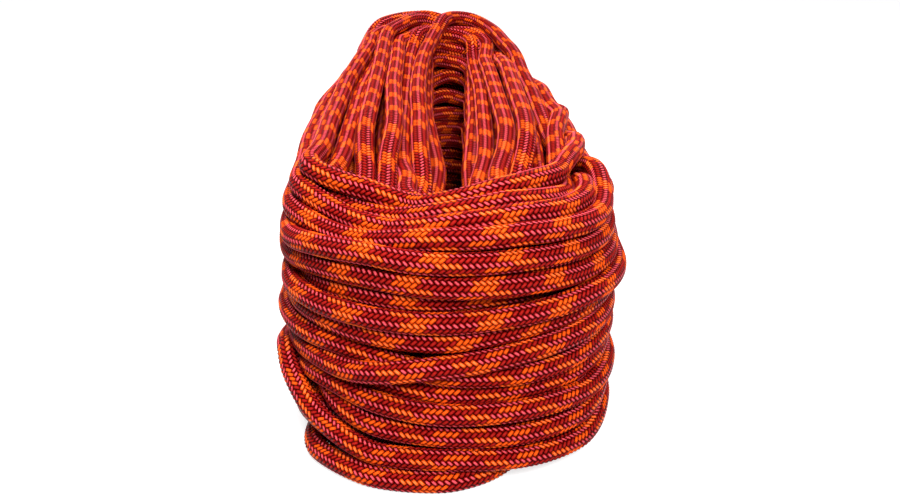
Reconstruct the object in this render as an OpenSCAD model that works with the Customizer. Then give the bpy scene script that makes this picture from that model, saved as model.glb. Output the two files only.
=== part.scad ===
// Dynamic climbing rope put up as an oblong hank, lying on its flat underside.
// The hank's long axis runs along Y, its turns lie level and stack up along Z,
// and an eye runs through it from top to bottom. Units are millimetres.

/* [Rope] */
// Diameter of the sheathed rope
rope_d = 10; // [8.3:0.1:12]
// Wall of the braided sheath
sheath_t = 1.1; // [0.9:0.05:1.4]
// Clear space between the strands of the core
strand_gap = 0.1; // [0.05:0.05:0.2]
// Diameter of the tracer yarn among the strands
tracer_d = 0.6; // [0.4:0.05:0.6]

/* [Hank] */
// Distance between the centres of the two end bends
bend_span = 286; // [238:2:344]
// Clear width of the eye
eye_w = 22; // [18:0.5:30]
// Thickness of the stack from the eye to the outside
stack_t = 71; // [58:1:86]
// Height of the stack
stack_h = 134; // [110:2:162]
// Radius that the turns follow over the outer top edge
outer_edge_r = 16; // [14:1:20]
// Radius that the turns follow over the edge of the eye
eye_edge_r = 13; // [12:1:16]
// Least clear space between neighbouring turns
turn_gap = 0.45; // [0.42:0.01:1]
// Height at which the turns on the wall of the eye stop
eye_foot = 46; // [42:1:70]
// Clear space between the outer turns and the stack inside
skin_gap = 0.4; // [0.4:0.05:0.6]

/* [Rope ends] */
// Length of straight rope that carries the end sleeve
end_len = 66; // [50:1:80]
// Length of the shrink sleeve
sleeve_len = 22; // [16:1:30]
// Wall of the shrink sleeve
sleeve_t = 0.6; // [0.4:0.05:0.8]
// Radial clearance of the sleeve and the tracer yarn
fit = 0.1; // [0.05:0.05:0.2]
// Length of the fused tip
tip_len = 3; // [2:0.5:5]
// Rounding of the fused tip
tip_round = 1.5; // [1:0.25:2]
// Height of the sleeves over the ground
ground_gap = 0.2; // [0.1:0.1:0.5]
// Clear space between the inner end and the wall of the eye
eye_wall_gap = 0.6; // [0.4:0.1:1]

/* [Hidden] */
STRANDS = 7;
ENDS = ["start", "finish"];

// The wound tube: a loop has 24 rings, 8 steps round each end bend and 4 along each run.
RINGS = 24;
BEND_STEPS = 8;
RUN_STEPS = 4;
SIDES = 6;
TAIL_SIDES = 8;
EDGE_STEPS = 6;
SMOOTH = 64;

rope_r = rope_d / 2;
sleeve_r = rope_r + fit + sleeve_t;
half_span = bend_span / 2;
// How far a chord of the wound tube's bend lies inside its arc, as a share of the radius
chord_sag = 1 - cos(90 / BEND_STEPS);
// Pitch of the turns along the section, so that they stay clear where they are closest:
// round the edge of the eye, where a chord is shorter than its arc, and along the chords of the bends
turn_chord = (rope_d + turn_gap) / (1 - chord_sag);
pitch = 2 * eye_edge_r * asin(turn_chord / 2 / eye_edge_r) * PI / 180;

// Section of one side of the hank: r is the distance from the line between the bend centres.
outer_r = eye_w / 2 + stack_t - rope_r;
eye_r = eye_w / 2 + rope_r;
low_z = sleeve_r + ground_gap;
top_z = stack_h - rope_r;

// Lengths along the wound layer's section: outer wall, outer edge, top, edge of the eye, wall of the eye
wall_len = top_z - outer_edge_r - low_z;
edge_len = PI / 2 * outer_edge_r;
top_len = outer_r - outer_edge_r - eye_r - eye_edge_r;
eye_edge_len = PI / 2 * eye_edge_r;
eye_wall_len = top_z - eye_edge_r - eye_foot;
section_len = wall_len + edge_len + top_len + eye_edge_len + eye_wall_len;

// The layer starts where the left run meets the far bend, and ends a quarter of the way along that run.
first_step = BEND_STEPS;
last_step = BEND_STEPS + RUN_STEPS / 4;
loops = floor(section_len / pitch);
steps = loops * RINGS + last_step - first_step;
foot_z = eye_foot + section_len - steps / RINGS * pitch;

// Inner end of the rope: it leaves the wall of the eye, comes down into the eye and lies on the ground.
// Each point is [distance on, share of the way to its last x, share of the way down], chosen by hand.
TAIL_ROUTE = [[0, 0, 0], [10, 0, 0], [22, 0.18, 0.01], [34, 0.5, 0.05], [46, 0.82, 0.14], [58, 0.97, 0.3],
    [70, 1, 0.52], [82, 1, 0.74], [94, 1, 0.9], [106, 1, 0.98], [118, 1, 1], [128, 1, 1]];
tail_x = -(eye_w / 2 - sleeve_r - eye_wall_gap);
tail_from_y = half_span - bend_span / 4 - rope_d;
tail_points = [for (p = TAIL_ROUTE)
    [-eye_r + p[1] * (eye_r + tail_x), tail_from_y - p[0], foot_z + p[2] * (low_z - foot_z)]];

// Where each straight rope end starts, and which way along Y it runs
start_end = [tail_points[len(tail_points) - 1], -1];
finish_end = [[-outer_r, half_span + rope_d, low_z], 1];

// The core strands: six round one
bore_r = rope_r - sheath_t;
strand_r = (bore_r - 2 * strand_gap) / 3;
strand_ring_r = 2 * strand_r + strand_gap;

// A point of a level loop at distance r from the line between the bend centres, at step k of RINGS
function loop_point(k, r) =
    k <= BEND_STEPS ? let (a = 180 * k / BEND_STEPS) [r * cos(a), half_span + r * sin(a)]
    : k <= BEND_STEPS + RUN_STEPS ? [-r, half_span - bend_span * (k - BEND_STEPS) / RUN_STEPS]
    : k <= 2 * BEND_STEPS + RUN_STEPS
        ? let (a = 180 + 180 * (k - BEND_STEPS - RUN_STEPS) / BEND_STEPS) [r * cos(a), -half_span + r * sin(a)]
    : [r, -half_span + bend_span * (k - 2 * BEND_STEPS - RUN_STEPS) / RUN_STEPS];

// Place [r, z] at length s along the section: up the outer wall, over the top and down into the eye
function section_point(s) =
    let (s1 = s - wall_len, s2 = s1 - edge_len, s3 = s2 - top_len, s4 = s3 - eye_edge_len)
    s1 <= 0 ? [outer_r, low_z + s]
    : s2 <= 0 ? let (a = s1 / outer_edge_r * 180 / PI)
        [outer_r - outer_edge_r * (1 - cos(a)), top_z - outer_edge_r * (1 - sin(a))]
    : s3 <= 0 ? [outer_r - outer_edge_r - s2, top_z]
    : s4 <= 0 ? let (a = s3 / eye_edge_r * 180 / PI)
        [eye_r + eye_edge_r * (1 - sin(a)), top_z - eye_edge_r * (1 - cos(a))]
    : [eye_r, top_z - eye_edge_r - s4];

// Centre of the wound tube at step i, which may be a fraction
function turn_point(i) =
    let (k = first_step + i, q = section_point(i / RINGS * pitch), xy = loop_point(k % RINGS, q[0]))
    [xy[0], xy[1], q[1]];

// The wound tube's centres, with one rope diameter of straight rope at each end
turn_points = concat([turn_point(0) + [0, rope_d, 0]], [for (i = [0:steps]) turn_point(i)],
    [turn_point(steps) - [0, rope_d, 0]]);

// Tube of the given radius along points. Its ends are square to Y.
function unit(v) = v / norm(v);
function heading(p, i) =
    i == 0 || i == len(p) - 1 ? [0, -1, 0] : unit(p[i + 1] - p[i - 1]);
function ring(p, i, r, sides) =
    let (t = heading(p, i), side = unit(cross(t, [0, 0, 1])), up = cross(side, t))
    [for (j = [0:sides - 1]) let (a = 360 * (j + 0.5) / sides) p[i] + r * (cos(a) * side + sin(a) * up)];

module tube(p, r, sides) {
    points = [for (i = [0:len(p) - 1]) each ring(p, i, r, sides)];
    walls = [for (i = [0:len(p) - 2], j = [0:sides - 1])
        let (a = i * sides + j, b = i * sides + (j + 1) % sides)
        each [[a, b, b + sides], [a, b + sides, a + sides]]];
    last = (len(p) - 1) * sides;
    caps = [for (j = [1:sides - 2]) each [[0, j + 1, j], [last, last + j, last + j + 1]]];
    polyhedron(points, concat(walls, caps));
}

// Least distance between turns: centres and the middles of the chords, against all later turns
fine_points = [for (i = [0:0.5:steps]) (turn_point(floor(i)) + turn_point(ceil(i))) / 2];
near = RINGS;
least_gap = min([for (i = [0:len(fine_points) - 1 - near], j = [i + near:len(fine_points) - 1])
    norm(fine_points[j] - fine_points[i])]) - rope_d;
echo(loops = steps / RINGS, least_gap_between_turns = least_gap);

// Section of the turns inside: flat below, rounded over both top edges, stepping out into the eye
// one rope under the wound layer, so that the inner end clears the step as it comes away.
// Its outer wall also clears the chords of the wound tube's bends.
skin = rope_r + skin_gap;
core_outer_r = outer_r * (1 - chord_sag) - skin;
core_edge_r = outer_edge_r - skin - outer_r * chord_sag;
core_eye_r = eye_r + skin;
core_eye_edge_r = eye_edge_r - skin;
core_top = top_z - skin;
step_z = foot_z - skin - rope_d;
core_section = concat(
    [[eye_w / 2, 0], [core_outer_r, 0]],
    [for (i = [0:EDGE_STEPS]) let (a = 90 * i / EDGE_STEPS)
        [core_outer_r - core_edge_r * (1 - cos(a)), core_top - core_edge_r * (1 - sin(a))]],
    [for (i = [0:EDGE_STEPS]) let (a = 90 * i / EDGE_STEPS)
        [core_eye_r + core_eye_edge_r * (1 - sin(a)), core_top - core_eye_edge_r * (1 - cos(a))]],
    [[core_eye_r, step_z], [eye_w / 2, step_z]]);

// Turns inside the stack, as one body round the eye
module inner_turns() {
    color([0.55, 0.12, 0.10]) {
        for (side = [0, 180]) rotate([0, 0, side]) {
            translate([0, half_span, 0])
                rotate_extrude(angle = 180, $fn = SMOOTH) polygon(core_section);
            translate([0, half_span, 0]) rotate([90, 0, 0])
                linear_extrude(height = bend_span) polygon(core_section);
        }
    }
}

// Outer layer of turns: one unbroken rope, up the outside, over the top and down into the eye
module outer_turns() {
    color([0.85, 0.25, 0.10]) tube(turn_points, rope_r, SIDES);
}

// Free stretch from the wall of the eye down to the inner end
module start_tail() {
    color([0.85, 0.25, 0.10]) tube(tail_points, rope_r, TAIL_SIDES);
}

// Puts a piece drawn along +Z at a straight rope end
module at_end(end) {
    translate(end[0]) rotate([-90 * end[1], 0, 0]) children();
}

// Hollow braided sheath of a straight end
module sheath_end() {
    color([0.85, 0.25, 0.10]) difference() {
        cylinder(r = rope_r, h = end_len, $fn = SMOOTH);
        translate([0, 0, -1]) cylinder(r = bore_r, h = end_len + 2, $fn = SMOOTH);
    }
}

// Core strand i: the first is the centre, the others lie round it
module core_strand(i) {
    a = 60 * (i - 2);
    ring_r = i == 1 ? 0 : strand_ring_r;
    color([0.94, 0.93, 0.88]) translate([ring_r * cos(a), ring_r * sin(a), 0])
        cylinder(r = strand_r, h = end_len, $fn = SMOOTH);
}

// Tracer yarn, in the valley between two strands and the sheath
module tracer_yarn() {
    valley_r = bore_r - fit / 2 - tracer_d / 2;
    color([0.15, 0.35, 0.70]) rotate([0, 0, 30]) translate([valley_r, 0, 0])
        cylinder(d = tracer_d, h = end_len, $fn = SMOOTH);
}

// Shrink sleeve that binds the end of the sheath
module shrink_sleeve() {
    color([0.10, 0.10, 0.11]) translate([0, 0, end_len - sleeve_len]) difference() {
        cylinder(r = sleeve_r, h = sleeve_len, $fn = SMOOTH);
        translate([0, 0, -1]) cylinder(r = rope_r + fit, h = sleeve_len + 2, $fn = SMOOTH);
    }
}

// Fused tip: sheath and core melted into one button
module fused_tip() {
    face_r = rope_r - tip_round;
    color([0.25, 0.06, 0.05]) translate([0, 0, end_len])
        rotate_extrude($fn = SMOOTH) polygon(concat([[0, 0], [rope_r, 0]],
            [for (i = [0:EDGE_STEPS]) let (a = 90 * i / EDGE_STEPS)
                [face_r + tip_round * cos(a), tip_len - tip_round * (1 - sin(a))]],
            [[0, tip_len]]));
}

inner_turns();
outer_turns();
start_tail();
for (e = ENDS) {
    end = e == "start" ? start_end : finish_end;
    at_end(end) sheath_end();
    at_end(end) tracer_yarn();
    at_end(end) shrink_sleeve();
    at_end(end) fused_tip();
    for (i = [1:STRANDS])
        at_end(end) core_strand(i);
}
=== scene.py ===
import math

import bpy
import numpy as np
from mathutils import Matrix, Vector


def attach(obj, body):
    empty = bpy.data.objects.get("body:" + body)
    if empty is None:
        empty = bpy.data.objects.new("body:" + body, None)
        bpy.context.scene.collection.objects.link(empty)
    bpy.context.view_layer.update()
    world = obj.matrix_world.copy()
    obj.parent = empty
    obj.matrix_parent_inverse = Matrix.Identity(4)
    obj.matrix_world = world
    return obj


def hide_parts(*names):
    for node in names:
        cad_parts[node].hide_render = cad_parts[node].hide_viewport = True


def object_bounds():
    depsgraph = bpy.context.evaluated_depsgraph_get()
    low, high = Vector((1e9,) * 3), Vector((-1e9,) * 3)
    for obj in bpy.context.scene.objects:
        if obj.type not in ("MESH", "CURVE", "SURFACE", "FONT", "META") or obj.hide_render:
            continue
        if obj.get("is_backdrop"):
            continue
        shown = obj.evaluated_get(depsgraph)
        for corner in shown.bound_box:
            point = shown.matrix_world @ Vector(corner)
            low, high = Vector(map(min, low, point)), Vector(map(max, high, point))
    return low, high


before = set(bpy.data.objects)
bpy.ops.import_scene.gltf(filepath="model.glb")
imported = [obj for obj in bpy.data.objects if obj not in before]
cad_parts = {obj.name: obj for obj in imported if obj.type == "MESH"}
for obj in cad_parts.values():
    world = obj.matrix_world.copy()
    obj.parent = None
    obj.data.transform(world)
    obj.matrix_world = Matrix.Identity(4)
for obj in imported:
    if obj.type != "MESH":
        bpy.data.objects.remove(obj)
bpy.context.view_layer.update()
scene = bpy.context.scene

# Camera: it stands in front of one end of the hank, a little above it, and looks
# down its length.
LOOKS_DOWN = 19.9  # degrees
camera = bpy.data.objects.new("camera", bpy.data.cameras.new("camera"))
camera.data.lens = 48
camera.location = (0, -0.675, 0.275)
camera.rotation_euler = (math.radians(90 - LOOKS_DOWN), 0, 0)
scene.collection.objects.link(camera)
scene.camera = camera

# How the rope is laid: 70 m of 10 mm dynamic rope, braided of polyamide yarns, wound by hand
# into an oblong hank. It is one unbroken length, from the end on the ground up the outside,
# over the top and down through the stack to the end in the eye.
ROPE = 10.0  # its diameter; it is laid in millimetres
HALF_SPAN = 143.0  # from the middle of the hank to the centre of either bend
TOP = 129.0  # height of the uppermost turns
POINT_GAP = 5.0  # between the points of the rope's line
# A turn has 24 steps: 4 down the left run, 8 round the near bend, 4 up the right run and 8
# round the far bend.
STEPS = 24
NEAR_BEND, RIGHT_RUN, FAR_BEND = 4, 12, 16  # the steps where these begin
BEND_STEPS = 8
NEAR_MIDDLE = 8  # the step in the middle of the near bend
SAMPLE = 0.02  # steps between the places that are worked out
rng = np.random.default_rng(7)


def smooth(x, low, high):
    """0 below low, 1 above high and a soft slope between them."""
    t = np.clip((x - low) / (high - low), 0, 1)
    return t * t * (3 - 2 * t)


def on_turn(step, out):
    """Place on a level turn, at a distance out from the line between the bend centres."""
    step = step % STEPS
    angle = np.where(step < RIGHT_RUN, step - NEAR_BEND, step - FAR_BEND) / BEND_STEPS * np.pi
    parts = [step < NEAR_BEND, (step >= NEAR_BEND) & (step < RIGHT_RUN), step < FAR_BEND]
    x = np.select(parts, [-out, -out * np.cos(angle), out], out * np.cos(angle))
    left_run, right_run = 1 - step / 2, step / 2 - 7  # from one bend centre to the other
    y = np.select(parts, [HALF_SPAN * left_run, -HALF_SPAN - out * np.sin(angle),
                          HALF_SPAN * right_run], HALF_SPAN + out * np.sin(angle))
    return x, y


# Turns up the outside, lowest first: distance out and height round the near bend, at 75,
# 50 and 25 degrees left, in the middle, and at 25, 50 and 75 degrees right.
FRONT_STEPS = NEAR_MIDDLE + np.array([-75, -50, -25, 0, 25, 50, 75]) / (180 / BEND_STEPS)
outside = [
    ([60, 76.5, 82, 79, 64, 53, 46], [8, 5, 5, 5, 5, 5, 5]),
    ([78, 77, 79, 78, 76, 75, 72], [42, 23, 13, 13, 12, 10, 14]),
    ([62, 69, 74, 76, 76, 75, 72], [31, 31, 26, 25, 23, 22, 27]),
    ([62, 70, 75, 77, 77, 76, 73], [42, 42, 39, 38, 37, 35, 36]),
    ([63, 64, 67, 68, 68, 69, 69], [54, 51, 45, 43, 43, 42, 44]),
    ([70, 70, 68, 70, 74, 73, 71], [59, 59, 57, 53, 51, 51, 52]),
    ([71, 73, 76, 77, 77, 76, 73], [48, 49, 55, 59, 64, 65, 64]),
    ([71, 73, 75, 74, 70, 69, 68], [69, 69, 70, 69, 71, 73, 73]),
    ([71, 73.5, 76, 77, 77, 79, 79], [80, 82, 79, 78, 78, 81, 79]),
    ([68, 69, 69, 70, 69, 64, 66], [86, 85, 86, 85, 86, 85, 86]),
    ([73, 75, 76, 77, 76, 74, 72], [89, 94, 95, 93, 92, 90, 89]),
    ([74, 76, 77, 77, 77, 73, 70], [100, 105, 107, 105, 104, 101, 99]),
    ([73, 67, 67, 74, 75, 74, 69], [109, 105, 107, 113, 114.5, 112, 110]),
]
# The three outermost turns over the top, which wrap the near bend
wrapping = [
    ([60, 52, 48, 56, 57, 58, 57], [118, 113, 112, 119, 123, 120, 117]),
    ([66, 49, 40, 46, 48, 49, 53], [127, 120, 114, 120, 125, 125, 122]),
    ([70, 60, 57, 65, 66, 65, 64], [119, 111, 110, 117, 120, 117, 115]),
]
# Where every turn lies in the stack's section, in winding order: up the outside, outwards
# over the top, to and fro through six columns inside, and down the wall of the eye
INNER_TOP, INNER_PITCH = 112, 13  # the highest turns inside, and the step to the next below
heights = [5.5, 14, 24, 34, 43, 52, 61, 70, 79, 87, 95, 104, 113]
over_top = [(18, 122), (26.5, 128), (35, 124), (43.5, 129), (52, 121), (59, 129), (67.5, 122)]
falling = [INNER_TOP - INNER_PITCH * i for i in range(9)]
rising = [14 + INNER_PITCH * i for i in range(8)]
stack = [(73 + 2 * (i % 2 == 0), z) for i, z in enumerate(heights)] + over_top
for column, distance in enumerate([65.5, 57.5, 49.5, 41.5, 33.5]):
    stack += [(distance, z) for z in (rising if column % 2 else falling)]
stack += [(25.5, 8), (16, 6), (16, 17), (25.5, 21), (25.5, 34), (16, 28), (16, 38)]
stack += [(25.5, z) for z in (47, 60, 73, 86, 99, 111)]
eye_wall = [(16, z) for z in (110, 97, 85, 74, 64, 55, 47.7)]
stack = np.array(stack + eye_wall, float)
# The first turn over the top, the first inside and the topmost on the wall of the eye
OVER, INSIDE, EYE = len(outside), len(outside) + len(over_top), len(stack) - len(eye_wall)
fronts = dict(enumerate(outside))
fronts |= {INSIDE - len(wrapping) + i: row for i, row in enumerate(wrapping)}
# The lowest turn inside lies close behind the two lowest outside, and where the eye closes
# its topmost turns lie in each other's gaps.
fronts[INSIDE + len(falling) - 1] = ([68, 68, 71, 69, 70, 70, 68], [14, 8, 6, 6, 8, 9, 9])
fronts[EYE - 1] = ([26, 28, 29, 29, 29, 28, 26], [99, 101, 102, 102, 102, 101, 99])
fronts[EYE] = ([17, 18, 19, 20, 19, 18, 17], [90] * 7)
fronts[EYE + 1] = ([16] * 7, [80] * 7)

step = np.arange(0, STEPS * (len(stack) - 1) + 1.001, SAMPLE)
middles = STEPS * np.arange(len(stack)) + NEAR_MIDDLE
out, z = (np.interp(step, middles, stack[:, i]) for i in (0, 1))


def drift(size, every=2.5):
    """Slow random wandering along the rope, with a new aim every so many steps."""
    aims = rng.normal(0, size, int(step[-1] / every) + 4)
    last, t = np.divmod(step / every, 1)
    last, t = last.astype(int), t * t * (3 - 2 * t)
    return aims[last] * (1 - t) + aims[last + 1] * t


FRONT_FROM, FRONT_TO = 2, 14  # the steps of a turn between which its given front tells
OVER_LOOSENESS = 1.6  # how much more the turns over the top wander than the rest
held = np.zeros(len(step))  # 1 where a turn's place round the near bend is given above
for turn, (outs, zs) in fronts.items():
    of_turn = step - STEPS * turn
    share = smooth(of_turn, FRONT_FROM, FRONT_STEPS[0])
    share *= 1 - smooth(of_turn, FRONT_STEPS[-1], FRONT_TO)
    out += share * (np.interp(of_turn, FRONT_STEPS, outs) - out)
    z += share * (np.interp(of_turn, FRONT_STEPS, zs) - z)
    held += share
is_over = (step > STEPS * OVER) & (step < STEPS * INSIDE)
is_inside = step > STEPS * INSIDE
loose = np.where(is_over, OVER_LOOSENESS, 1) * (1 - held)
out += loose * drift(1.0)
z += loose * drift(1.0)
x, y = on_turn(step, out)

# The hank is not square: every range below is in millimetres along it (y), across it (x),
# up (z) or out from its middle line. The far end is piled a little higher on the left, and
# the shoulders slope down.
z += smooth(y, -60, 160) * 6 * z / TOP * (1 - smooth(x, -25, 10))
z -= z / TOP * smooth(y, -150, 20) * (24 * smooth(x, 34, 72) + 8 * smooth(-x, 52, 74))
z -= z / TOP * smooth(y, 40, 150) * (16 * smooth(x, 16, 60) + 6 * smooth(-x, 50, 70))
# Towards the far end the highest turns draw in, more on the right than on the left, and the
# sides are pressed in a little.
high = smooth(z, 80, 122)
narrow = np.where(x > 0, np.interp(y, [-110, -45, 45, 120], [0.02, 0.08, 0.18, 0.28]),
                  np.interp(y, [-60, 40, 90, 160], [0, -0.04, 0.02, 0.10]))
x *= 1 - narrow * high * smooth(np.abs(x), 10, 50)
x -= np.sign(x) * 2.5 * smooth(np.abs(x), 60, 80) * (1 - high * (x < 0))
# They rise over the middle of the far bend, and the turns inside arch over that end of the eye.
z += 7 * np.exp(-((x + 20) / 40) ** 2) * smooth(y, 120, 205) * high
z += 12 * z / INNER_TOP * (1 - smooth(out, 18, 40)) * smooth(y, 118, 162) * is_inside
# Over the near bend the innermost turns sag, and they close the eye there.
near = 1 - smooth(y, -190, -60)
sag_inside = 15 * z / INNER_TOP * (1 - 0.6 * smooth(out, 50, 58) * smooth(x, -35, 0))
sag_over = 24 * (1 - smooth(out, 44, 50))
z -= near * np.where(is_inside, sag_inside, sag_over) * (1 - held)
closed = np.interp(y, [-170, -140, -128, -90, -60], [0, 0.4, 0.5, 0.3, 0])
x *= 1 - high * np.exp(-(out - 16) / 20) * closed

# Turns over the top and the topmost one in the eye: how far left each lies at 110, 10 and
# -80 along the hank, then how far right at -80, 10 and 110, and how much lower each side is.
LEFT_STEPS, RIGHT_STEPS = (0.46, 1.86, 3.12), (12.88, 14.14, 15.54)  # those places, as steps
EASE = 1.2  # steps in which a turn comes into its lane or leaves it
lanes = {
    OVER: ((-17, -18, -17), (20, 20, 21), 0, 12),
    OVER + 1: ((-27, -26, -24), (29, 26.5, 23), 8, 2),
    OVER + 2: ((-36, -33, -28), (38.5, 36, 34), -3, -3),
    OVER + 3: ((-42, -43.5, -43), (44, 43, 38), 0, 17),
    OVER + 4: ((-46, -51.5, -52), (56, 57, 57), 2, -1),
    OVER + 5: ((-52, -60, -61.5), (60, 62.5, 63), 0, 6),
    OVER + 6: ((-58, -68, -70.5), (67, 68, 66), 0, 14),
    EYE: ((-18, -16, -7), (11, 17, 18), 0, -3),
}
for turn, (left, right, left_lower, right_lower) in lanes.items():
    of_turn = step - STEPS * turn
    for at, xs, lower in ((LEFT_STEPS, left, left_lower), (RIGHT_STEPS, right, right_lower)):
        share = smooth(of_turn, at[0] - EASE, at[0]) * (1 - smooth(of_turn, at[2], at[2] + EASE))
        x += share * (np.interp(of_turn, at, xs) - x)
        z -= share * lower

# The last turn outside crosses over the far bend to the edge of the eye.
crossing = np.array([
    (61, -70, 107.5), (55, -30, 113), (51, 10, 117.5), (47, 46, 121), (43, 80, 124),
    (38, 115, 128), (33, 148, 131), (25, 174, 133), (13, 188, 134), (0, 182, 134),
    (-8, 158, 132.5), (-13, 125, 131.5), (-17, 85, 129), (-18.5, 45, 127), (-18.5, 5, 126),
    (-18, -20, 125)], float)
CROSSING_LEAVES, CROSSING_JOINS = 12.75, 26.6  # steps of that turn
# The outer end lies on the ground beside the far bend. The inner end goes from the wall of
# the eye across to the ground: so far on, so much of the way across and so much down.
finish_run = np.array([(-77, y, 5.9) for y in (219, 200, 180, 165, 153)], float)
start_run = np.array([(-16 + 11.3 * across, 61.5 - on, 47.7 - 41.8 * down) for on, across, down in (
    (0, 0, 0), (10, 0, 0), (22, .18, .01), (34, .5, .05), (46, .82, .14), (58, .97, .3),
    (70, 1, .52), (82, 1, .74), (94, 1, .9), (106, 1, .98), (118, 1, 1), (128, 1, 1),
    (194, 1, 1))])


def lengths(points):
    """How far along the line each point is."""
    return np.concatenate([[0], np.cumsum(np.linalg.norm(np.diff(points, axis=0), axis=1))])


def even(points, every):
    """The same line with points evenly spaced."""
    along = lengths(points)
    at = np.linspace(0, along[-1], max(2, round(along[-1] / every) + 1))
    return np.stack([np.interp(at, along, points[:, i]) for i in range(3)], 1)


def cubic(points, at):
    """Places on the smooth curve through points, at fractional indices."""
    p = np.vstack([2 * points[0] - points[1], points, 2 * points[-1] - points[-2]])
    i = np.minimum(at.astype(int), len(points) - 2)
    t = (at - i)[:, None]
    a, b, c, d = p[i], p[i + 1], p[i + 2], p[i + 3]
    return b + (c - a + (2 * a - 5 * b + 4 * c - d + (3 * b - a - 3 * c + d) * t) * t) * t / 2


def curve(points):
    """The smooth curve through points, as evenly spaced points."""
    return even(cubic(points, np.linspace(0, len(points) - 1, 40 * len(points))), POINT_GAP)


wound = np.stack([x, y, z], 1)
of_turn = step - STEPS * (OVER - 1)
wound = np.vstack([wound[of_turn < CROSSING_LEAVES], curve(crossing),
                   wound[of_turn > CROSSING_JOINS]])
turns_line = even(wound, POINT_GAP)[3:-3]  # a little short, so that both ends run in softly
finish_line, start_line = curve(finish_run), curve(start_run)
line = even(np.vstack([finish_line, turns_line, start_line]), POINT_GAP)
along = lengths(line)
fixed = (along < lengths(finish_line)[-1]) | (along > along[-1] - lengths(start_line)[-1])


def near_pairs(p, reach, apart):
    """Pairs of points nearer than reach, and at least so many points apart along the rope."""
    cell = np.floor((p - p.min(0)) / reach).astype(np.int64) + 1
    size = cell.max(0) + 2
    key = (cell[:, 0] * size[1] + cell[:, 1]) * size[2] + cell[:, 2]
    order = np.argsort(key, kind="stable")
    ordered = key[order]
    found = []
    for side in [(a, b, c) for a in (0, 1) for b in (-1, 0, 1) for c in (-1, 0, 1)]:
        if side < (0, 0, 0):
            continue
        want = key + (side[0] * size[1] + side[1]) * size[2] + side[2]
        low = np.searchsorted(ordered, want, "left")
        n = np.searchsorted(ordered, want, "right") - low
        i = np.repeat(np.arange(len(p)), n)
        j = order[np.arange(n.sum()) - np.repeat(np.cumsum(n) - n, n) + np.repeat(low, n)]
        ok = (np.abs(i - j) >= apart) & ((i < j) | (side != (0, 0, 0)))
        i, j = i[ok], j[ok]
        close = ((p[i] - p[j]) ** 2).sum(1) < reach * reach
        found.append((i[close], j[close]))
    return [np.concatenate(side) for side in zip(*found)]


# How the turns give way to each other, in each round
LOOK_EVERY = 10  # rounds between two searches for turns that may touch
LOOK_PAST = 3.0  # mm, how far past touching the search reaches
OTHER_TURN = 7  # points along the rope, from which on a near point is another turn's
PUSH = 0.35  # the part of an overlap that is taken out
LARGEST_MOVE = 1.5  # mm
STIFFNESS = 0.09  # against bends
TAUTNESS = 0.25  # against stretch
EVENNESS = 0.2  # spreads a move over the points beside it


def settle(p, fixed, contact, pull, rounds):
    """Presses turns that lie in each other apart, keeps the length and irons out kinks."""
    free = np.where(fixed, 0.0, 1.0)
    home, rest = p.copy(), np.linalg.norm(np.diff(p, axis=0), axis=1)
    for n in range(rounds):
        if n % LOOK_EVERY == 0:
            i, j = near_pairs(p, contact.max() + LOOK_PAST, OTHER_TURN)
            apart = (contact[i] + contact[j]) / 2
            share = PUSH / np.maximum(free[i] + free[j], 1)
        d = p[i] - p[j]
        gap = np.linalg.norm(d, axis=1) + 1e-9
        d *= (share * np.maximum(0, apart - gap) / gap)[:, None]
        move = np.stack([np.bincount(i, axis, len(p)) - np.bincount(j, axis, len(p))
                         for axis in d.T], 1)
        move *= np.minimum(1, LARGEST_MOVE / (np.linalg.norm(move, axis=1) + 1e-9))[:, None]
        p = p + (move + pull[:, None] * (home - p)) * free[:, None]
        bend = p[:-4] - 4 * p[1:-3] + 6 * p[2:-2] - 4 * p[3:-1] + p[4:]
        p[2:-2] -= STIFFNESS * bend * free[2:-2, None]
        d = np.diff(p, axis=0)
        long = np.linalg.norm(d, axis=1)
        d *= ((long - rest) / long * TAUTNESS)[:, None]
        p[:-1] += d * free[:-1, None]
        p[1:] -= d * free[1:, None]
        shift = p - home
        p[1:-1] += EVENNESS * (shift[:-2] - 2 * shift[1:-1] + shift[2:]) * free[1:-1, None]
        p[:, 2] = np.maximum(p[:, 2], ROPE / 2)
    return p


# Turns that show keep their full roundness, those inside are pressed a little flat.
SHOWING = 20500.0  # mm of rope from the outer end, which lie outside and on top
ROUND_WIDTH, PRESSED_WIDTH = 10.3, 9.9
ROUNDS = 160
shows = lengths(line) < SHOWING
contact = np.where(shows, ROUND_WIDTH, PRESSED_WIDTH)
pull = np.where(shows, 0.02, 0.01)  # in each round, back to where a point was laid
line = settle(line, fixed, contact, pull, ROUNDS)

# The braided sheath: 24 yarns of bright polyamide filament, 12 wound each way, each passing
# over two and under two. In each direction four neighbours are orange and eight crimson, so
# that solid orange patches fall where the two orange bands cross.
YARNS = 12
ORANGE_YARNS = 4
PICK = 2.55  # mm along the rope from one yarn to the next
REPEAT = 4.0  # picks in the repeat of two over and two under
# The crown colours are painted highlights: lighter and pinker than the yarns' own colour, as if
# light fell on each yarn's top.
CRIMSON, CRIMSON_HIGHLIGHT = (0.26, 0.004, 0.003, 1), (0.72, 0.08, 0.105, 1)
ORANGE, ORANGE_HIGHLIGHT = (0.80, 0.068, 0.004, 1), (1.0, 0.17, 0.04, 1)
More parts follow.
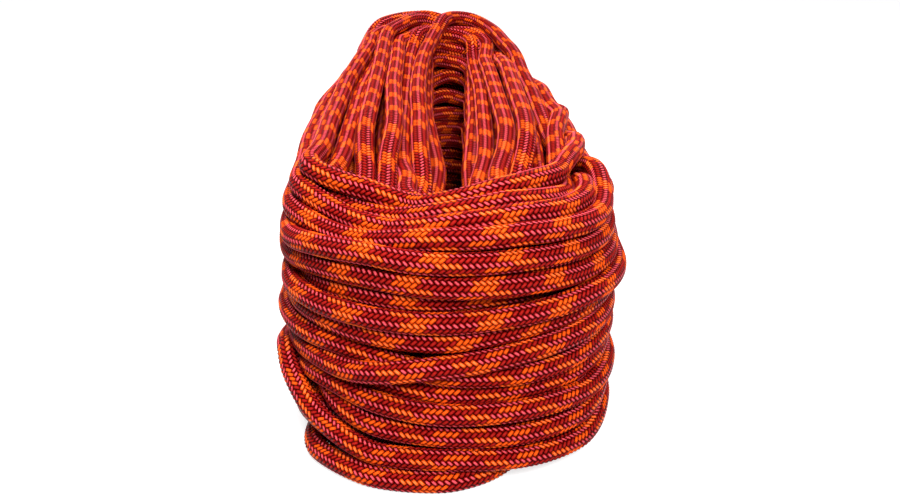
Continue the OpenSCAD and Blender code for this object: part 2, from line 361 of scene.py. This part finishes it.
# The painted highlight on the crowns of the yarns that are wound the other way, which is less
# bright, as if less light fell on them
CRIMSON_DIM_HIGHLIGHT, ORANGE_DIM_HIGHLIGHT = (0.34, 0.012, 0.008, 1), (0.92, 0.10, 0.008, 1)
CRIMSON_GAP_SHADE, ORANGE_GAP_SHADE = 0.02, 0.12  # painted shade: how light the gaps beside them are left
YARN_RELIEF = 0.0009  # metres
FLATNESS = 0.55  # of a yarn's crown: 1 is a full wave, less is flatter with steeper sides
DIVE = 0.8  # the part of its height that a yarn loses where it goes under
THREADS, THREAD_RELIEF = 7, 0.03  # ridges across each yarn, and their height beside its own
SOFT_SHEEN = {"Roughness": 0.36, "Specular IOR Level": 0.04, "Specular Tint": (1.0, 0.4, 0.6, 1.0)}


def new_material(name, finish):
    material = bpy.data.materials.new(name)
    material.use_nodes = True
    shader = material.node_tree.nodes["Principled BSDF"]
    for socket, value in finish.items():
        shader.inputs[socket].default_value = value
    return material, material.node_tree, shader


def add_node(tree, kind, *values, out=0, **settings):
    """Adds a node, sets or links its inputs in order, and returns one of its outputs."""
    made = tree.nodes.new(kind)
    for key, value in settings.items():
        setattr(made, key, value)
    sockets = [s for s in made.inputs if s.enabled]
    for socket, value in zip(sockets, values):
        if isinstance(value, bpy.types.NodeSocket):
            tree.links.new(value, socket)
        else:
            socket.default_value = value
    return [s for s in made.outputs if s.enabled][out]


def reckon(tree, operation, *values):
    return add_node(tree, "ShaderNodeMath", *values, operation=operation)


def between(tree, share, first, second, **settings):
    """The colour so far from the first to the second."""
    return add_node(tree, "ShaderNodeMix", share, first, second, data_type="RGBA", **settings)


def ranged(tree, value, *low_high, **settings):
    """A value moved from one range to another."""
    return add_node(tree, "ShaderNodeMapRange", value, *low_high, **settings)


def raise_surface(tree, shader, relief, distance):
    bump = add_node(tree, "ShaderNodeBump").node
    bump.inputs["Distance"].default_value = distance
    tree.links.new(relief, bump.inputs["Height"])
    tree.links.new(bump.outputs[0], shader.inputs["Normal"])


braid, tree, shader = new_material("braided_sheath", SOFT_SHEEN)
uv = add_node(tree, "ShaderNodeUVMap", uv_map="along_and_round")
picks_on, turns_round = add_node(tree, "ShaderNodeSeparateXYZ", uv).node.outputs[:2]
yarns_round = reckon(tree, "MULTIPLY", turns_round, float(YARNS))
phase = [reckon(tree, way, yarns_round, picks_on) for way in ("ADD", "SUBTRACT")]
yarn = [reckon(tree, "ROUND", p) for p in phase]
# Place in the repeat: the first way lies on top from 0 to 2, the other from 2 to 4.
in_repeat = []
for own, other in ((0, 1), (1, 0)):
    shifted = reckon(tree, "ADD", reckon(tree, "ADD", yarn[own], phase[other]), 0.5)
    in_repeat.append(reckon(tree, "FLOORED_MODULO", shifted, REPEAT))
first_up = reckon(tree, "LESS_THAN", in_repeat[0], REPEAT / 2)


def upper(first, other):
    """The first where the first way lies on top, the other elsewhere."""
    return add_node(tree, "ShaderNodeMix", first_up, other, first)


on_yarn = upper(reckon(tree, "SUBTRACT", in_repeat[0], 1.0),
                reckon(tree, "SUBTRACT", in_repeat[1], 3.0))
across = upper(*[reckon(tree, "SUBTRACT", p, middle) for p, middle in zip(phase, yarn)])
number = reckon(tree, "ADD", upper(*yarn), 0.25)
in_round = reckon(tree, "FLOORED_MODULO", number, float(YARNS))
is_orange = reckon(tree, "LESS_THAN", in_round, float(ORANGE_YARNS))
# Each yarn is plump across, and dives at both ends of its float.
wave = reckon(tree, "COSINE", reckon(tree, "MULTIPLY", across, math.pi))
plump = reckon(tree, "POWER", reckon(tree, "MAXIMUM", wave, 0.0), FLATNESS)
dived = reckon(tree, "POWER", reckon(tree, "ABSOLUTE", on_yarn), 3.0)
height = reckon(tree, "MULTIPLY", plump, reckon(tree, "MULTIPLY_ADD", dived, -DIVE, 1.0))
threads = reckon(tree, "SINE", reckon(tree, "MULTIPLY", across, 2 * math.pi * THREADS))
relief = reckon(tree, "MULTIPLY_ADD", threads, THREAD_RELIEF, height)
raise_surface(tree, shader, relief, YARN_RELIEF)
# Its colour carries a painted highlight, lighter on the crown, and painted shade, dark in the gaps
# between yarns.
# Painted shade: towards the gaps between yarns the colour darkens down to this level.
deep = add_node(tree, "ShaderNodeMix", is_orange, CRIMSON_GAP_SHADE, ORANGE_GAP_SHADE)
shade = ranged(tree, height, 0.2, 0.75, deep, 1.0)
# The crown: where the painted highlight lies, on the top of each yarn.
crown = ranged(tree, height, 0.68, 0.98, 0.0, 1.0, interpolation_type="SMOOTHSTEP")
body = between(tree, is_orange, CRIMSON, ORANGE)
bright_highlight = between(tree, is_orange, CRIMSON_HIGHLIGHT, ORANGE_HIGHLIGHT)
dim_highlight = between(tree, is_orange, CRIMSON_DIM_HIGHLIGHT, ORANGE_DIM_HIGHLIGHT)
# The first way's yarns get the brighter painted highlight, the other way's yarns the dimmer one.
tone_and_highlight = between(tree, crown, body, between(tree, first_up, bright_highlight, dim_highlight))
colour = between(tree, 1.0, tone_and_highlight, shade, blend_type="MULTIPLY")
tree.links.new(colour, shader.inputs["Base Color"])

# The sheath as a tube, in stretches that follow each other with no break. Where it shows,
# every crossing of two yarns is a point of its mesh; inside the stack it is plainer.
COARSE = 4  # every fourth ring is one of the plainer tube's, and stretches meet at such a ring
FULL, PLAIN = (1, 24), (COARSE, 12)  # every so many rings, with so many points round each
CROWN_RADIUS, GAP_RADIUS = 5.0, 4.6
HALF_PICK = PICK / 2  # from ring to ring
PATTERN_RINGS = 2 * YARNS  # from a crossing to the next one like it
EYE_LENGTH = 5200.0  # of the rope in the eye and on its wall
along = lengths(line)
rings = int(along[-1] / HALF_PICK) // COARSE * COARSE
index_at = np.interp(np.arange(rings + 1) * (along[-1] / rings), along, np.arange(len(line)))
heading = np.gradient(line, axis=0)
heading /= np.linalg.norm(heading, axis=1)[:, None]
# The side direction is carried from point to point, so that the braid does not twist.
normal = np.zeros_like(line)
n = np.array([1.0, 0.0, 0.0])
for k, t in enumerate(heading):
    n = n - t * (n @ t)
    n /= math.sqrt(n @ n)
    normal[k] = n
centres = cubic(line, index_at)
heads = np.gradient(centres, axis=0)
heads /= np.linalg.norm(heads, axis=1)[:, None]
sides = cubic(normal, index_at)
sides -= heads * (sides * heads).sum(1)[:, None]
sides /= np.linalg.norm(sides, axis=1)[:, None]
ups = np.cross(heads, sides)


def braided(name, first, last, every, count):
    """Closed tube from ring first to ring last, taking every so many, with count points each."""
    k = np.arange(first, last + 1, every)
    j = np.arange(count)
    a = j * 2 * math.pi / count
    # Crowns and gaps take turns where the braid shows; the plainer tube has crowns only.
    is_gap = (k[:, None] + j) % 2 * ((every, count) == FULL)
    radius = np.where(is_gap, GAP_RADIUS, CROWN_RADIUS)[..., None]
    outwards = np.cos(a)[:, None] * sides[k, None] + np.sin(a)[:, None] * ups[k, None]
    points = centres[k, None] + radius * outwards
    points = np.vstack([points.reshape(-1, 3), centres[k[[0, -1]]]]) / 1000
    # Each square between two rings is cut in two along the yarn that lies on top there.
    row, col = (c.ravel() for c in np.meshgrid(np.arange(len(k) - 1), j, indexing="ij"))
    here, ahead, after = row * count, (row + 1) * count, (col + 1) % count
    corners = np.stack([here + col, here + after, ahead + after, ahead + col], 1)
    even_square = (k[row] + col) % 2 == 0
    first_to_third = (even_square & (col % 4 == 2)) | (~even_square & (col % 4 != 0))
    cut = np.where(first_to_third[:, None], [0, 1, 2, 0, 2, 3], [0, 1, 3, 1, 2, 3])
    faces = np.take_along_axis(corners, cut, 1).reshape(-1, 3)
    last_ring, centre = (len(k) - 1) * count, len(k) * count
    first_cap = [(centre, (i + 1) % count, i) for i in range(count)]
    last_cap = [(centre + 1, last_ring + i, last_ring + (i + 1) % count) for i in range(count)]
    mesh = bpy.data.meshes.new(name)
    mesh.from_pydata(points.tolist(), [], faces.tolist() + first_cap + last_cap)
    smooth_faces = np.ones(len(mesh.polygons), bool)
    smooth_faces[-2 * count:] = False
    mesh.polygons.foreach_set("use_smooth", smooth_faces)

    def on_corners(values):
        return np.take_along_axis(values, cut, 1).ravel()

    # One map runs along the rope in picks and once round it.
    start = k[0] // PATTERN_RINGS * PATTERN_RINGS
    u = on_corners((k[np.stack([row, row, row + 1, row + 1], 1)] - start) / 2)
    v = on_corners(np.stack([col, col + 1, col + 1, col], 1) / count)
    flat = np.zeros((len(mesh.loops), 2), np.float32)
    flat[:len(u)] = np.stack([u, v], 1)
    flat[len(u):, 0] = np.repeat([(k[0] - start) / 2, (k[-1] - start) / 2], 3 * count)
    mesh.uv_layers.new(name="along_and_round").uv.foreach_set("vector", flat.ravel())
    # A second map, for baking, lays the stretch out in strips, one above the other, a
    # little clear of each other and of the map's edges.
    strips = round(math.sqrt((k[-1] - k[0]) * HALF_PICK / (math.pi * ROPE)))
    strip_rings = math.ceil((len(k) - 1) / strips)
    strip, ring = np.divmod(row, strip_rings)
    bake_u = on_corners(np.stack([ring, ring, ring + 1, ring + 1], 1) / strip_rings)
    flat = np.full((len(mesh.loops), 2), 0.002, np.float32)
    flat[:len(u), 0] = 0.003 + 0.994 * bake_u
    flat[:len(u), 1] = (np.repeat(strip, 6) + 0.02 + 0.96 * v) / strips
    mesh.uv_layers.new(name="OFBake").uv.foreach_set("vector", flat.ravel())
    mesh.materials.append(braid)
    tube = bpy.data.objects.new(name, mesh)
    scene.collection.objects.link(tube)
    return tube


def stretches(name, first, last, count, build, nodes):
    """Count tubes from ring first to ring last, each with the line of points that it follows."""
    edges = [round(v / COARSE) * COARSE for v in np.linspace(first, last, count + 1)]
    made = []
    for k in range(count):
        piece = braided(f"{name}_{k + 1}", edges[k], edges[k + 1], *build)
        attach(piece, "root")
        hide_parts(*nodes)
        made.append((piece, centres[edges[k]:edges[k + 1] + 1:COARSE] / 1000))
    return made


rings_per_mm = rings / along[-1]
inside_start, eye_start = (round(v * rings_per_mm / COARSE) * COARSE
                           for v in (SHOWING, along[-1] - EYE_LENGTH))
rope = stretches("rope_outside", 0, inside_start, 5, FULL, ["outer_turns", "finish_sheath_end"])
rope += stretches("rope_inside", inside_start, eye_start, 3, PLAIN, ["inner_turns"])
rope += stretches("rope_eye", eye_start, rings, 2, FULL,
                  ["outer_turns", "start_tail", "start_sheath_end"])

# The two shrink sleeves: 22 mm of black polyolefin tube shrunk over each end of the sheath,
# so tight that the braid shows through as faint ribs. They carry no print.
SLEEVE_LENGTH = 22.0
SLEEVE_IN, SLEEVE_OUT = 5.1, 5.7
RIB_BASE, RIB_HIGH, RIB_LOW = 0.12, 0.07, 0.05  # how deep the ribs lie, and each way's height
RIM_EASE, BORE_EASE = 0.08, 0.12  # mm, how far its rims are eased outside and inside
SLEEVE_DARK, SLEEVE_PALE = (0.012, 0.012, 0.014, 1), (0.03, 0.03, 0.033, 1)
ends = {"finish": (line[0], 1), "start": (line[-1], -1)}  # the last point, and its way along y


def bands(rings, count):
    """The squares between rings of count points, the rings given by their numbers in order."""
    return [(i * count + j, i * count + (j + 1) % count, k * count + (j + 1) % count, k * count + j)
            for i, k in zip(rings, rings[1:]) for j in range(count)]


def ribbed(on):
    """The sleeve's radius at each angle, at a distance on."""
    lean = on / PICK * math.pi
    return lambda a: (SLEEVE_OUT - RIB_BASE + RIB_HIGH * np.cos(YARNS * a + lean)
                      + RIB_LOW * np.cos(YARNS * a - lean))


def tube_along_y(name, at, side, profile, count):
    """Closed tube about a line along y, from a profile of distances on and radii."""
    a = np.arange(count) * 2 * math.pi / count
    rows = []
    for on, radius in profile:
        r = np.broadcast_to(radius(a) if callable(radius) else radius, a.shape)
        places = [at[0] + r * np.cos(a), np.full(count, at[1] + side * on), at[2] + r * np.sin(a)]
        rows.append(np.stack(places, 1))
    faces = bands([*range(len(rows)), 0], count)
    if side < 0:
        faces = [f[::-1] for f in faces]
    mesh = bpy.data.meshes.new(name)
    mesh.from_pydata((np.vstack(rows) / 1000).tolist(), [], faces)
    return mesh


sleeve_black, tree, shader = new_material("sleeve_polyolefin", {})
place = add_node(tree, "ShaderNodeTexCoord", out=3)
grain = add_node(tree, "ShaderNodeTexNoise", place, 900.0, 3.0)
raise_surface(tree, shader, grain, 0.00015)
tree.links.new(ranged(tree, grain, 0.3, 0.7, 0.36, 0.5), shader.inputs["Roughness"])
tree.links.new(between(tree, grain, SLEEVE_DARK, SLEEVE_PALE), shader.inputs["Base Color"])
for end, (tip, side) in ends.items():
    profile = [(0.1, SLEEVE_IN), (0, SLEEVE_IN + BORE_EASE), (0, SLEEVE_OUT - 0.22),
               (0.15, SLEEVE_OUT - RIM_EASE)]
    profile += [(on, ribbed(on)) for on in np.linspace(0.5, SLEEVE_LENGTH - 0.5, 33)]
    profile += [(SLEEVE_LENGTH - 0.15, SLEEVE_OUT - RIM_EASE), (SLEEVE_LENGTH, SLEEVE_OUT - 0.22),
                (SLEEVE_LENGTH, SLEEVE_IN + BORE_EASE), (SLEEVE_LENGTH - 0.1, SLEEVE_IN)]
    start = (tip[0], tip[1] - side * SLEEVE_LENGTH, tip[2])
    mesh = tube_along_y(f"{end}_sleeve", start, side, profile, 96)
    mesh.materials.append(sleeve_black)
    mesh.polygons.foreach_set("use_smooth", [True] * len(mesh.polygons))
    sleeve = bpy.data.objects.new(f"{end}_sleeve", mesh)
    scene.collection.objects.link(sleeve)
    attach(sleeve, "root")
    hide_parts(f"{end}_shrink_sleeve")

# The two fused tips: sheath and core are cut with a hot blade and melt into one dark glassy
# button, 3 mm long, with the ends of the 24 sheath yarns as beads round its rim.
TIP_PROFILE = [(0, 4.85), (0.5, 4.95), (1.2, 4.98), (1.8, 4.85), (2.3, 4.55), (2.7, 4.1),
               (2.9, 3.5), (3.0, 2.8), (2.9, 1.9), (2.85, 1.0)]  # distance on and radius
TIP_SIDES = 48
TIP_MIDDLE = 2.85  # distance on of the middle of the melted face, a little hollow
BEAD_SIZE, BEAD_SEED = 0.0006, 4
BURNT, CLEAR = (0.09, 0.010, 0.008, 1), (0.42, 0.035, 0.010, 1)
melted, tree, shader = new_material("melted_polyamide", {})
place = add_node(tree, "ShaderNodeTexCoord", out=3)
spots = add_node(tree, "ShaderNodeTexNoise", place, 420.0, 4.0)
melt = between(tree, ranged(tree, spots, 0.42, 0.66, 0.0, 1.0), BURNT, CLEAR)
tree.links.new(melt, shader.inputs["Base Color"])
tree.links.new(ranged(tree, spots, 0.3, 0.7, 0.15, 0.35), shader.inputs["Roughness"])
raise_surface(tree, shader, spots, 0.0003)

beads = bpy.data.node_groups.new("beads_round_a_rim", "GeometryNodeTree")
for name, kind, first in (("Button", "Geometry", None), ("Beads", "Int", 2 * YARNS),
                          ("Rim Radius", "Float", 0.0043), ("Bead Size", "Float", BEAD_SIZE),
                          ("Seed", "Int", BEAD_SEED), ("Finish", "Material", None)):
    socket = beads.interface.new_socket(name, in_out="INPUT", socket_type=f"NodeSocket{kind}")
    if first is not None:
        socket.default_value = first
beads.interface.new_socket("Tip", in_out="OUTPUT", socket_type="NodeSocketGeometry")
given = beads.nodes.new("NodeGroupInput").outputs
rim = add_node(beads, "GeometryNodeMeshCircle", given["Beads"], given["Rim Radius"])
low_rim = add_node(beads, "GeometryNodeTransform", rim)
low_rim.node.inputs["Translation"].default_value = (0, 0, 0.0009)
bead = add_node(beads, "GeometryNodeMeshIcoSphere", 1.0, 2)
strewn = beads.nodes.new("GeometryNodeInstanceOnPoints")
beads.links.new(low_rim, strewn.inputs["Points"])
beads.links.new(bead, strewn.inputs["Instance"])
uneven = beads.nodes.new("FunctionNodeRandomValue")
uneven.data_type = "FLOAT_VECTOR"
uneven.inputs[0].default_value = (0.8, 0.8, 0.9)
uneven.inputs[1].default_value = (1.15, 1.15, 1.6)
beads.links.new(given["Seed"], uneven.inputs["Seed"])
sized = beads.nodes.new("ShaderNodeVectorMath")
sized.operation = "SCALE"
beads.links.new(uneven.outputs[0], sized.inputs[0])
beads.links.new(given["Bead Size"], sized.inputs["Scale"])
beads.links.new(sized.outputs[0], strewn.inputs["Scale"])
joined = beads.nodes.new("GeometryNodeJoinGeometry")
solid_beads = add_node(beads, "GeometryNodeRealizeInstances", strewn.outputs[0])
beads.links.new(solid_beads, joined.inputs[0])
beads.links.new(given["Button"], joined.inputs[0])
finished = beads.nodes.new("GeometryNodeSetMaterial")
beads.links.new(joined.outputs[0], finished.inputs["Geometry"])
beads.links.new(given["Finish"], finished.inputs["Material"])
leaving = beads.nodes.new("NodeGroupOutput")
beads.links.new(finished.outputs[0], leaving.inputs[0])
inputs = [item for item in beads.interface.items_tree if item.in_out == "INPUT"]
socket_of = {item.name: item.identifier for item in inputs}

for n, (end, (tip, side)) in enumerate(ends.items()):
    a = np.arange(TIP_SIDES) * 2 * math.pi / TIP_SIDES
    lumps = 1 + 0.012 * np.cos(5 * a + n) + 0.008 * np.cos(9 * a)
    points = [(r * lumps[j] * math.cos(a[j]), r * lumps[j] * math.sin(a[j]), on)
              for on, r in TIP_PROFILE for j in range(TIP_SIDES)]
    faces = bands(range(len(TIP_PROFILE)), TIP_SIDES)
    last_ring, centre = len(points) - TIP_SIDES, len(points)
    points += [(0, 0, 0), (0, 0, TIP_MIDDLE)]
    faces += [(centre, (j + 1) % TIP_SIDES, j) for j in range(TIP_SIDES)]
    faces += [(centre + 1, last_ring + j, last_ring + (j + 1) % TIP_SIDES)
              for j in range(TIP_SIDES)]
    mesh = bpy.data.meshes.new(f"{end}_tip_button")
    mesh.from_pydata((np.array(points) / 1000).tolist(), [], faces)
    button = bpy.data.objects.new(f"{end}_tip_button", mesh)
    scene.collection.objects.link(button)
    modifier = button.modifiers.new("beads", "NODES")
    modifier.node_group = beads
    modifier[socket_of["Seed"]] = BEAD_SEED + n
    modifier[socket_of["Bead Size"]] = BEAD_SIZE
    modifier[socket_of["Finish"]] = melted
    bpy.context.view_layer.update()
    with_beads = button.evaluated_get(bpy.context.evaluated_depsgraph_get())
    made = bpy.data.meshes.new_from_object(with_beads)
    bpy.data.objects.remove(button)
    # The button is made upright; here it is laid along the rope, at its end.
    p = np.zeros(len(made.vertices) * 3)
    made.vertices.foreach_get("co", p)
    p = p.reshape(-1, 3)
    p = np.stack([p[:, 0], side * p[:, 2], -side * p[:, 1]], 1) + np.array(tip) / 1000
    made.vertices.foreach_set("co", p.ravel())
    made.polygons.foreach_set("use_smooth", [True] * len(made.polygons))
    made.name = f"{end}_tip"
    piece = bpy.data.objects.new(f"{end}_tip", made)
    scene.collection.objects.link(piece)
    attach(piece, "root")
    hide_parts(f"{end}_fused_tip")

# The rope's stretches in turn, each with the line of points that it follows, the first one's line
# reversed.
for n, (piece, path) in enumerate(rope):
    first, last = n == 0, n == len(rope) - 1
    path = path[::-1] if first else path

# The core: seven twisted white strands and a blue tracer yarn inside each end of the sheath.
# They keep the shape that they have in the frame.
PLY = 0.0018  # metres from one twist of a strand to the next
PLY_RELIEF = 0.0002


def twisted(name, roughness, groove_shade, light):
    """Finish of a strand twisted from plies, with painted shade in its grooves."""
    strand, tree, shader = new_material(name, {"Roughness": roughness})
    place = add_node(tree, "ShaderNodeTexCoord", out=3)
    axes = add_node(tree, "ShaderNodeSeparateXYZ", place).node.outputs
    twist = reckon(tree, "ADD", axes[1], reckon(tree, "ADD", axes[0], axes[2]))
    wave = reckon(tree, "SINE", reckon(tree, "MULTIPLY", twist, 2 * math.pi / PLY))
    # Painted shade: the colour darkens in the grooves between the plies.
    ply = ranged(tree, wave, -1.0, 1.0, 0.0, 1.0)
    tree.links.new(between(tree, ply, groove_shade, light), shader.inputs["Base Color"])
    raise_surface(tree, shader, ply, PLY_RELIEF)
    return strand


strand_white = twisted("twisted_strand", 0.6, (0.62, 0.60, 0.54, 1), (0.90, 0.89, 0.85, 1))
tracer_blue = twisted("tracer_filament", 0.5, (0.02, 0.07, 0.25, 1), (0.06, 0.18, 0.5, 1))
for name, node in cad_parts.items():
    if "core_strand" in name or "tracer" in name:
        node.data.materials.clear()
        node.data.materials.append(tracer_blue if "tracer" in name else strand_white)

# The floor and the light: a wide pale ground, a pale room round it, and two large soft lamps,
# one in front above the camera and one overhead.
FLOOR_GLOW = 0.78  # what the floor adds where it is seen, so that it comes out white
ROOM_SEEN, ROOM_LIGHT = 0.95, 0.05


def seen(tree):
    """1 for what is seen by the camera, in a reflection or through glass, else 0."""
    ray = add_node(tree, "ShaderNodeLightPath").node.outputs
    by_way = reckon(tree, "MAXIMUM", ray["Is Glossy Ray"], ray["Is Transmission Ray"])
    return reckon(tree, "MAXIMUM", ray["Is Camera Ray"], by_way)


def lamp(name, place, aim, size, watts):
    light = bpy.data.objects.new(name, bpy.data.lights.new(name, "AREA"))
    light.data.size = size
    light.data.energy = watts
    light.location = place
    light.rotation_euler = (Vector(aim) - Vector(place)).to_track_quat("-Z", "Y").to_euler()
    scene.collection.objects.link(light)


ground, tree, shader = new_material("pale_ground", {
    "Roughness": 0.9, "Base Color": (0.42, 0.42, 0.42, 1), "Emission Color": (1, 1, 1, 1)})
glow = reckon(tree, "MULTIPLY", seen(tree), FLOOR_GLOW)
tree.links.new(glow, shader.inputs["Emission Strength"])
floor = bpy.data.meshes.new("floor")
floor.from_pydata([(-4, -4, 0), (4, -4, 0), (4, 4, 0), (-4, 4, 0)], [], [(0, 1, 2, 3)])
floor.materials.append(ground)
floor_ob = bpy.data.objects.new("floor", floor)
scene.collection.objects.link(floor_ob)
floor_ob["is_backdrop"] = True
world = bpy.data.worlds.new("studio")
scene.world = world
world.use_nodes = True
room = world.node_tree.nodes["Background"].inputs
room["Color"].default_value = (1, 1, 1, 1)
level = reckon(world.node_tree, "MULTIPLY_ADD", seen(world.node_tree), ROOM_SEEN, ROOM_LIGHT)
world.node_tree.links.new(level, room["Strength"])
lamp("key", (0.2, -1.15, 0.85), (0, -0.1, 0.06), 0.3, 24)
lamp("top", (-0.25, -0.15, 1.25), (0, 0.05, 0.06), 0.6, 21)
scene.view_settings.view_transform = "Standard"

low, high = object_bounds()
